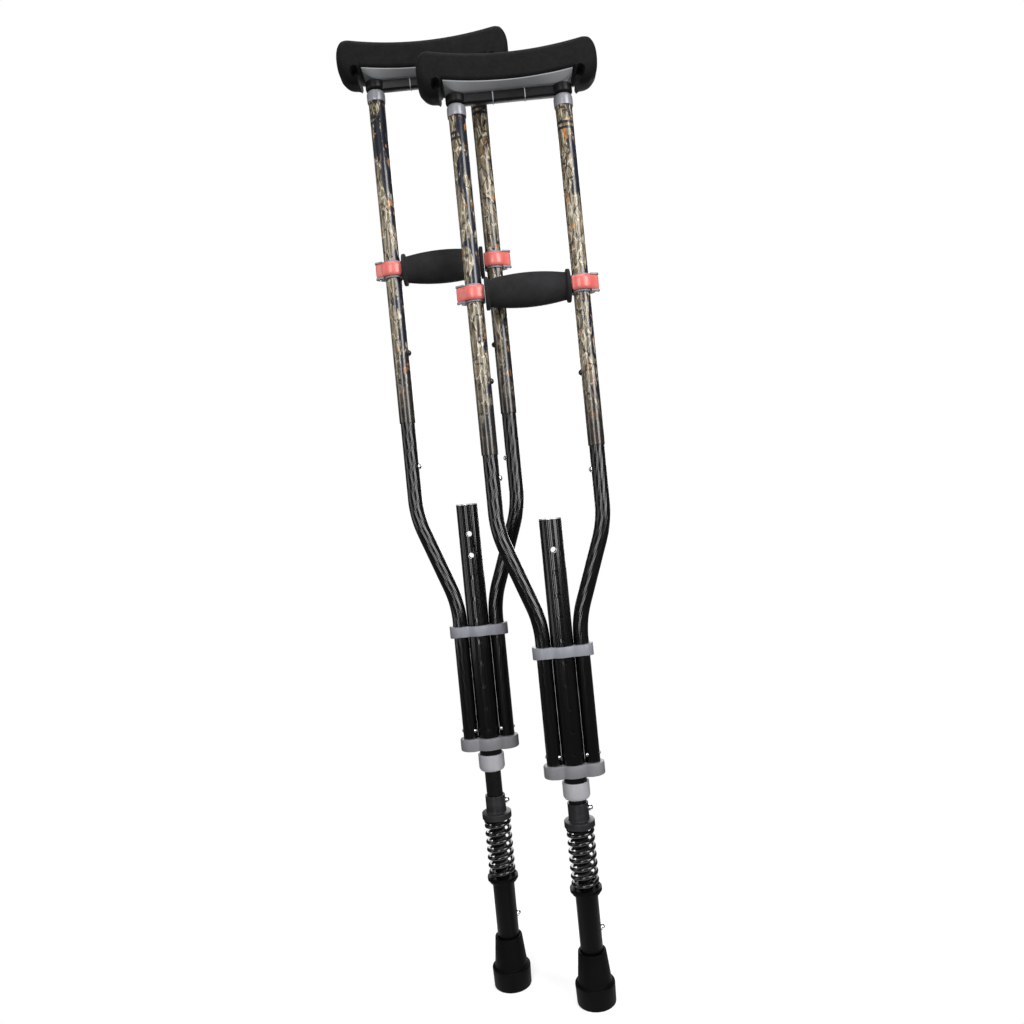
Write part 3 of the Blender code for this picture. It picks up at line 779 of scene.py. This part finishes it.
def tray(crutch):
    """Boat-shaped tray: flat keel on the rail, sides and ends sloping out to the pad's lower edge."""
    half_length, keel_y, rim_y, keel_z = 0.0715, 0.0085, 0.0205, 1.0234
    rings = []
    for x in np.linspace(-half_length, half_length, 73):
        top = pad_edge(x) - 0.0004
        near_end = max(0.0, (abs(x) - 0.054) / (half_length - 0.054))
        keel = keel_z + (top - 0.0022 - keel_z) * near_end ** 1.6
        wide = keel_y + (rim_y - keel_y) * 0.5 * near_end
        section = rounded([
            (-wide, keel), (wide, keel), (rim_y, top - 0.0012), (rim_y, top),
            (-rim_y, top), (-rim_y, top - 0.0012),
        ], 0.0009)
        rings.append([(x, y, z) for y, z in section])
    add_piece(
        crutch, "saddle_tray", skin(rings, False), MATERIALS["tray_plastic"], "top",
        crutch.top, ["pad_saddle"])


def underarm_pad(crutch):
    """Moulded foam pad: dished top, rounded edges, ends sweeping in to lobes past the tray.

    Each end has a pocket in both of its long faces.
    """
    half_length, half_depth = 0.1003, 0.0230

    def smooth(t):
        t = min(max(t, 0.0), 1.0)
        return t * t * (3 - 2 * t)

    def fall(reach, radius):
        past = max(0.0, (reach - (half_length - radius)) / radius)
        return radius * (1 - math.sqrt(max(0.0, 1 - past ** 2)))

    rings = []
    for k in range(161):
        x = half_length * math.sin(math.pi * (k / 160 - 0.5))
        reach = abs(x)
        top = 1.0580 + 0.0092 * min(reach / 0.088, 1.05) ** 2 - fall(reach, 0.0175)
        lobe = 1.0192 + 0.0020 * max(0.0, (reach - 0.0760) / 0.018) + fall(reach, 0.0160)
        low = pad_edge(min(reach, 0.072))
        low += (lobe - low) * smooth((reach - 0.0738) / 0.0040)
        depth = half_depth - fall(reach, 0.0095)
        height = max(top - low, 0.0008)
        corner = min(0.0075, height * 0.40, depth * 0.45)
        low_corner = min(0.0038 + 0.0142 * smooth((reach - 0.0738) / 0.0060), height * 0.50)
        section = arc((depth - low_corner, low + low_corner), low_corner, -90, 0, 8)
        section += arc((depth - corner, top - corner), corner, 0, 90, 10)
        section += arc((-depth + corner, top - corner), corner, 90, 180, 10)
        section += arc((-depth + low_corner, low + low_corner), low_corner, 180, 270, 8)
        rings.append([(x, y, z) for y, z in section])
    pad = add_piece(
        crutch, "foam_pad", skin(rings, False), MATERIALS["pad_foam"], "top", crutch.top,
        ["underarm_pad"])
    pocket = turned(
        [(ON_AXIS, 0.0080), (0.0045, 0.0082), (0.0062, 0.0300), (ON_AXIS, 0.0300)], 40, hollow=False)
    pockets = []
    for sign in (1, -1):
        for turn in (90, -90):
            facing = Matrix.Rotation(math.radians(turn), 4, "X")
            pockets.append(moved(pocket, (sign * 0.0800, 0, 1.0290), facing))
    cut(pad, [join(*pockets)], crutch.top)


# ---- the hand grip and its clamps ----
def hand_grip(crutch):
    end, flange, flange_r, bore = 0.04795, 0.0045, 0.0185, 0.0063
    inside = end - flange
    profile = [(bore, -end), (flange_r, -end), (flange_r, -inside), (0.0152, -inside)]
    for x in np.linspace(-inside, inside, 25)[1:-1]:
        profile.append((0.0148 + 0.0044 * math.cos(0.5 * math.pi * x / inside) ** 0.8, x))
    profile += [(0.0152, inside), (flange_r, inside), (flange_r, end), (bore, end)]
    grip = add_piece(
        crutch, "foam_grip", along_x(turned(rounded(profile, 0.0016), 72)), MATERIALS["grip_foam"], "grip",
        crutch.grip, ["hand_grip"])


def grip_rod(crutch):
    profile = rounded(rod(0.006, -0.048, 0.048), 0.0006, closed=False)
    add_piece(
        crutch, "grip_core_rod", along_x(turned(profile, 40, hollow=False)), MATERIALS["black_steel"], "grip",
        crutch.grip, ["grip_rod"])


def clamp(crutch, upright, sign):
    origin = crutch.grip + Vector((sign * UPRIGHT_X, 0, 0))
    half = 0.010
    ring = turned(rounded([
        (CLAMP_R, -half), (CLAMP_R, half), (SLEEVE_R + GAP, half), (SLEEVE_R + GAP, -half)], 0.0006), 64)
    parts = [ring]
    for low, high in ((-half, -0.0082), (0.0082, half)):
        outline = [(0.0105, -0.0095)] + arc(HINGE, 0.0041, -85, 65, 14) + [(0.0105, 0.0060)]
        outline = [(sign * x, y) for x, y in outline]
        parts.append(skin([[(x, y, z) for x, y in outline] for z in (low, high)], False))
    add_piece(
        crutch, f"{upright}_clamp_ring", join(*parts), MATERIALS["grey_plastic"], "grip",
        origin, [f"{upright}_grip_clamp"])
    pin = rounded(rod(0.0019, -0.0106, 0.0106), 0.0004, closed=False)
    add_piece(
        crutch, f"{upright}_lever_pin", moved(turned(pin, 24, hollow=False), (sign * HINGE[0], HINGE[1], 0)),
        MATERIALS["chrome"], "grip", origin)


def lever(crutch, upright, sign):
    """Cam lever with a crowned face, a flared free end and a round knuckle on its pin."""
    origin = crutch.grip + Vector((sign * UPRIGHT_X, 0, 0))
    inner_r, outer_r, knuckle_r, half = 0.0121, 0.0150, 0.0036, 0.0079
    rings = []
    for z in np.linspace(-half, half, 15):
        t = abs(z) / half
        crown = outer_r + 0.0008 * (1 - t ** 2) - 0.0012 * t ** 6
        knuckle = knuckle_r - 0.0007 * t ** 6
        outline = arc((0, 0), inner_r, -48, -134, 24)
        for k in range(29):
            angle = math.radians(-134 + 94 * k / 28)
            flare = 0.0013 * max(0.0, 1 - k / 5) ** 2
            outline.append(((crown + flare) * math.cos(angle), (crown + flare) * math.sin(angle)))
        outline += arc(HINGE, knuckle, -70, 130, 18)
        outline = np.array([(sign * x, y) for x, y in outline])
        rings.append(np.column_stack([outline, np.full(len(outline), z)]))
    piece = add_piece(
        crutch, f"{upright}_red_lever", skin(rings, False), MATERIALS["red_lever"], f"{upright}_lever",
        origin, [f"{upright}_clamp_lever"])
    soften(piece, 0.0006, 3, 50)


# ---- snap buttons ----
def button(crutch, part, side, x, z, inner_end, wall, crown, finish, origin):
    """A ball-ended button on its own body, its shank through the tube's wall."""
    shank, ball = 0.0028, 0.0035
    centre = crown - ball
    shank_top = max(wall - 0.0002, centre - 0.0015)
    profile = [(ON_AXIS, inner_end), (shank, inner_end + 0.0003), (shank, shank_top)]
    for k in range(13):
        angle = math.radians(-28 + 118 * k / 12)
        profile.append((max(ball * math.cos(angle), ON_AXIS), centre + ball * math.sin(angle)))
    shape = along_x(turned(profile, 32, hollow=False), side)
    add_piece(
        crutch, f"{part}_ball", moved(shape, (x, 0, z)), MATERIALS[finish], f"{part}_pin", origin,
        [part])


def buttons(crutch):
    button(crutch, "leg_button", 1, 0, LEG_BUTTON_Z, 0.0109, 0.0127, 0.0170, "chrome", crutch.base)
    button(crutch, "seat_button", 1, 0, SEAT_BUTTON_Z, 0.0080, 0.0117, 0.0165, "chrome", crutch.base)
    for upright, sign in UPRIGHTS:
        x = sign * UPRIGHT_X
        button(
            crutch, f"{upright}_lower_button", -sign, x, LOW_BUTTON_Z, 0.0055, BOW_R, 0.0115, "chrome",
            crutch.frame)
        button(
            crutch, f"{upright}_upper_button", -sign, x, HIGH_BUTTON_Z, 0.0088, SLEEVE_R, 0.0125,
            "black_steel", crutch.top)


# ---- stage ----
def floor_and_world():
    """A pale floor that fades into the white surround, which lights the set only dimly."""
    points, faces = turned(rod(FLOOR_R, -0.0002, -0.004), 64, hollow=False)
    floor_mesh = bpy.data.meshes.new("floor")
    floor_mesh.from_pydata([tuple(p) for p in points], [], faces)
    floor = bpy.data.objects.new("floor", floor_mesh)
    bpy.context.scene.collection.objects.link(floor)
    look = Shader(
        "floor_look", Base_Color=(0.55, 0.55, 0.55), Roughness=0.9, Specular_IOR_Level=0.0,
        Emission_Color=(1.0, 1.0, 1.0), Emission_Strength=FLOOR_GLOW)
    coordinates = look.node("ShaderNodeTexCoord")
    distance = look.node("ShaderNodeVectorMath", operation="LENGTH")
    look.link(coordinates.outputs["Object"], distance.inputs[0])
    fade = look.spread(distance.outputs["Value"], *FLOOR_FADE, interpolation_type="SMOOTHSTEP")
    clear = look.node("ShaderNodeBsdfTransparent")
    blend = look.node("ShaderNodeMixShader")
    look.link(fade, blend.inputs[0])
    look.link(look.principled.outputs["BSDF"], blend.inputs[1])
    look.link(clear.outputs["BSDF"], blend.inputs[2])
    look.link(blend.outputs["Shader"], look.tree.nodes["Material Output"].inputs["Surface"])
    floor_mesh.materials.append(look.material)

    world = bpy.data.worlds.new("studio")
    bpy.context.scene.world = world
    world.use_nodes = True
    tree = world.node_tree
    background = tree.nodes["Background"]
    background.inputs["Color"].default_value = (1, 1, 1, 1)
    path = tree.nodes.new("ShaderNodeLightPath")
    strength = tree.nodes.new("ShaderNodeMapRange")
    strength.inputs["To Min"].default_value = WORLD_LIGHT
    strength.inputs["To Max"].default_value = 1.0
    tree.links.new(path.outputs["Is Camera Ray"], strength.inputs["Value"])
    tree.links.new(strength.outputs["Result"], background.inputs["Strength"])


def area_light(name, location, target, size, power):
    data = bpy.data.lights.new(name, "AREA")
    data.shape = "RECTANGLE"
    data.size, data.size_y = size
    data.energy = power
    made = bpy.data.objects.new(name, data)
    made.location = location
    made.rotation_euler = (Vector(target) - Vector(location)).to_track_quat("-Z", "Y").to_euler()
    bpy.context.scene.collection.objects.link(made)


def camera():
    """Close and wide, square to the crutches, tilted so that they lean left."""
    nearest = Crutch("right").base
    data = bpy.data.cameras.new("camera")
    data.lens = LENS
    data.sensor_width = SENSOR
    made = bpy.data.objects.new("camera", data)
    turn = Matrix.Rotation(math.pi / 2, 4, "X") @ Matrix.Rotation(-EYE_ROLL, 4, "Z")
    made.matrix_world = Matrix.Translation(nearest + Vector(EYE)) @ turn
    bpy.context.scene.collection.objects.link(made)
    bpy.context.scene.camera = made


camera()
floor_and_world()
for light in LIGHTS:
    area_light(*light)
for crutch in (Crutch("right"), Crutch("left")):
    rubber_tip(crutch)
    leg_tube(crutch)
    leg_shaft(crutch)
    spring_seat(crutch)
    spring(crutch)
    post(crutch)
    band(crutch)
    bracket(crutch)
    post_collar(crutch)
    rail(crutch)
    tray(crutch)
    underarm_pad(crutch)
    hand_grip(crutch)
    grip_rod(crutch)
    buttons(crutch)
    for upright, sign in UPRIGHTS:
        bow(crutch, upright, sign)
        upper_tube(crutch, upright, sign)
        upright_collar(crutch, upright, sign)
        clamp(crutch, upright, sign)
        lever(crutch, upright, sign)

bpy.context.scene.view_settings.view_transform = "Standard"
